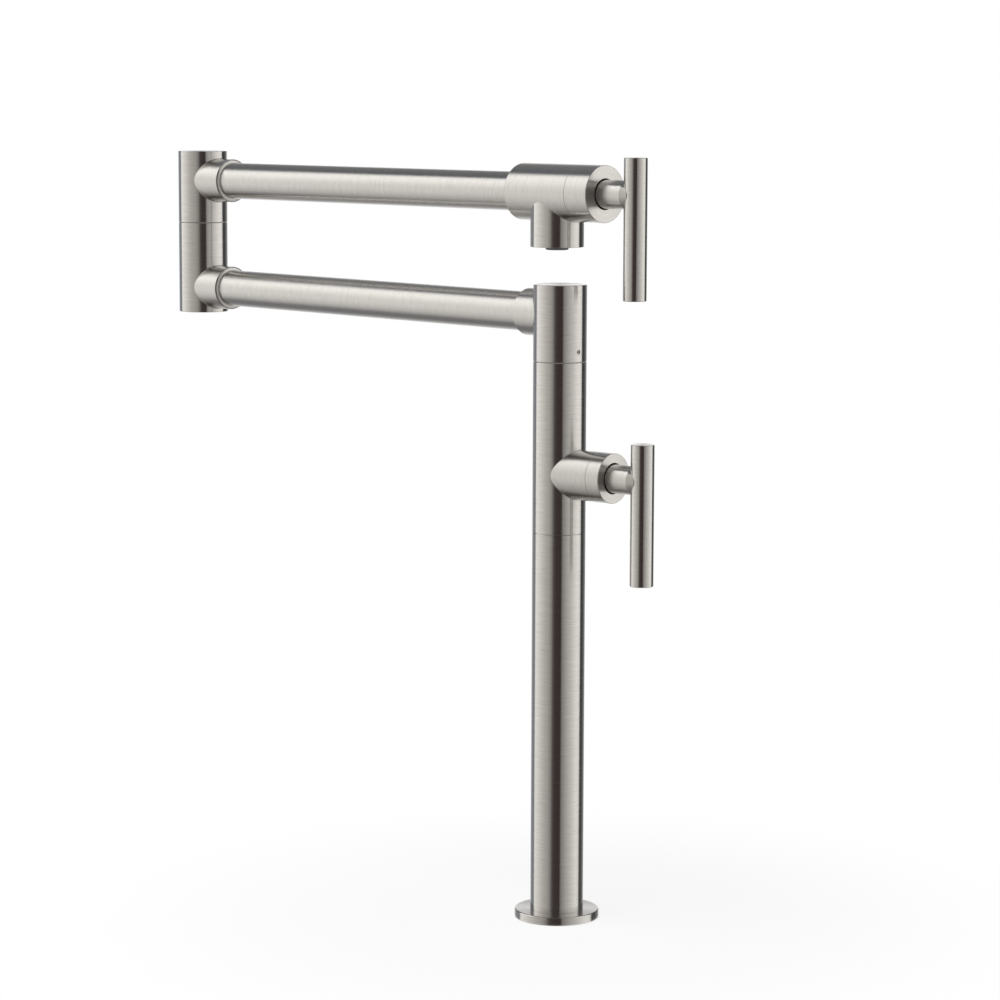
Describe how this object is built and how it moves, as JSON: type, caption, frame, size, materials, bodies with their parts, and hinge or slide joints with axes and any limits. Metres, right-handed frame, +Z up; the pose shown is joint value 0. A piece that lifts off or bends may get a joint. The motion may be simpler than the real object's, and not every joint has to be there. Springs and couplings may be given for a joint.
{
  "type": "deck-mounted pot filler",
  "caption": "Deck-mounted pot filler: a column with a bar-handle valve and a folding swing arm that ends in a spout with its own bar-handle valve.",
  "frame": {"origin": "centre of the flange's underside, on the column axis and in the plane of the deck", "axes": "+Z up along the column; +X along the column valve's axis, out towards its bar handle; +Y to the right when facing that handle"},
  "size_m": [0.4339, 0.0779, 0.5223],
  "materials": {
    "base_flange": "brushed nickel",
    "base_gasket": "matt",
    "mounting_shank": "machined",
    "rubber_washer": "matt",
    "steel_washer": "stainless, plain",
    "mounting_nut": "machined",
    "base_adapter": "machined",
    "adapter_seal": "matt",
    "riser_tube": "brushed nickel",
    "valve_body": "brushed nickel",
    "valve_body_seal": "matt",
    "valve_bonnet": "brushed nickel",
    "valve_housing": "machined",
    "valve_fixed_disc": "ground and polished ceramic",
    "valve_seat_seal": "matt",
    "swivel_spigot": "machined",
    "swivel_seals": "matt",
    "swivel_washer": "smooth",
    "valve_stem": "machined",
    "valve_moving_disc": "ground and polished ceramic",
    "valve_stem_seal": "matt",
    "valve_hub": "brushed nickel",
    "valve_bar": "brushed nickel",
    "valve_hub_screw": "stainless, plain",
    "swivel_head": "brushed nickel",
    "swivel_screw": "stainless, plain",
    "lower_arm_tube": "brushed nickel",
    "lower_elbow": "brushed nickel",
    "lower_tube_ring": "brushed nickel",
    "elbow_spigot": "machined",
    "elbow_seals": "matt",
    "elbow_washer": "smooth",
    "upper_elbow": "brushed nickel",
    "elbow_screw": "stainless, plain",
    "upper_arm_tube": "brushed nickel",
    "upper_tube_ring": "brushed nickel",
    "outlet_body": "brushed nickel",
    "outlet_bonnet": "brushed nickel",
    "outlet_housing": "machined",
    "outlet_fixed_disc": "ground and polished ceramic",
    "outlet_seat_seal": "matt",
    "aerator_shell": "brushed nickel",
    "aerator_insert": "fine matt",
    "aerator_screen": "stainless, plain",
    "aerator_seal": "matt",
    "outlet_stem": "machined",
    "outlet_moving_disc": "ground and polished ceramic",
    "outlet_stem_seal": "matt",
    "outlet_hub": "brushed nickel",
    "outlet_bar": "brushed nickel",
    "outlet_hub_screw": "stainless, plain"
  },
  "bodies": {
    "column": {"base_flange": "base_flange", "base_gasket": "base_gasket", "mounting_shank": "mounting_shank", "rubber_washer": "rubber_washer", "steel_washer": "steel_washer", "mounting_nut": "mounting_nut", "base_adapter": "base_adapter", "adapter_seal": "adapter_seal", "riser_tube": "riser_tube", "valve_body": "valve_body", "valve_body_seal": "valve_body_seal", "valve_bonnet": "valve_bonnet", "valve_housing": "valve_housing", "valve_fixed_disc": "valve_fixed_disc", "valve_seat_seal": "valve_seat_seal", "swivel_spigot": "swivel_spigot", "swivel_seals": "swivel_seals", "swivel_washer": "swivel_washer"},
    "valve_handle": {"valve_stem": "valve_stem", "valve_moving_disc": "valve_moving_disc", "valve_stem_seal": "valve_stem_seal", "valve_hub": "valve_hub", "valve_bar": "valve_bar", "valve_hub_screw": "valve_hub_screw"},
    "lower_arm": {"swivel_head": "swivel_head", "swivel_screw": "swivel_screw", "lower_arm_tube": "lower_arm_tube", "lower_elbow": "lower_elbow", "lower_tube_ring": "lower_tube_ring", "elbow_spigot": "elbow_spigot", "elbow_seals": "elbow_seals", "elbow_washer": "elbow_washer"},
    "upper_arm": {"upper_elbow": "upper_elbow", "elbow_screw": "elbow_screw", "upper_arm_tube": "upper_arm_tube", "upper_tube_ring": "upper_tube_ring", "outlet_body": "outlet_body", "outlet_bonnet": "outlet_bonnet", "outlet_housing": "outlet_housing", "outlet_fixed_disc": "outlet_fixed_disc", "outlet_seat_seal": "outlet_seat_seal", "aerator_shell": "aerator_shell", "aerator_insert": "aerator_insert", "aerator_screen": "aerator_screen", "aerator_seal": "aerator_seal"},
    "outlet_handle": {"outlet_stem": "outlet_stem", "outlet_moving_disc": "outlet_moving_disc", "outlet_stem_seal": "outlet_stem_seal", "outlet_hub": "outlet_hub", "outlet_bar": "outlet_bar", "outlet_hub_screw": "outlet_hub_screw"}
  },
  "joints": [
    {"name": "base_swivel", "type": "hinge", "parent": "column", "child": "lower_arm", "pos_m": [0, 0, 0.3375], "axis": [0, 0, 1], "continuous": true},
    {"name": "elbow_swivel", "type": "hinge", "parent": "lower_arm", "child": "upper_arm", "pos_m": [-0.34663, 0.03607, 0.4084], "axis": [0, 0, 1], "continuous": true},
    {"name": "valve_handle_turn", "type": "hinge", "parent": "column", "child": "valve_handle", "pos_m": [0.064, 0, 0.2707], "axis": [1, 0, 0], "range_deg": [0, 90]},
    {"name": "outlet_handle_turn", "type": "hinge", "parent": "upper_arm", "child": "outlet_handle", "pos_m": [0.04881, 0.00994, 0.4365], "axis": [0.9978, -0.0659, 0], "range_deg": [0, 90]}
  ]
}
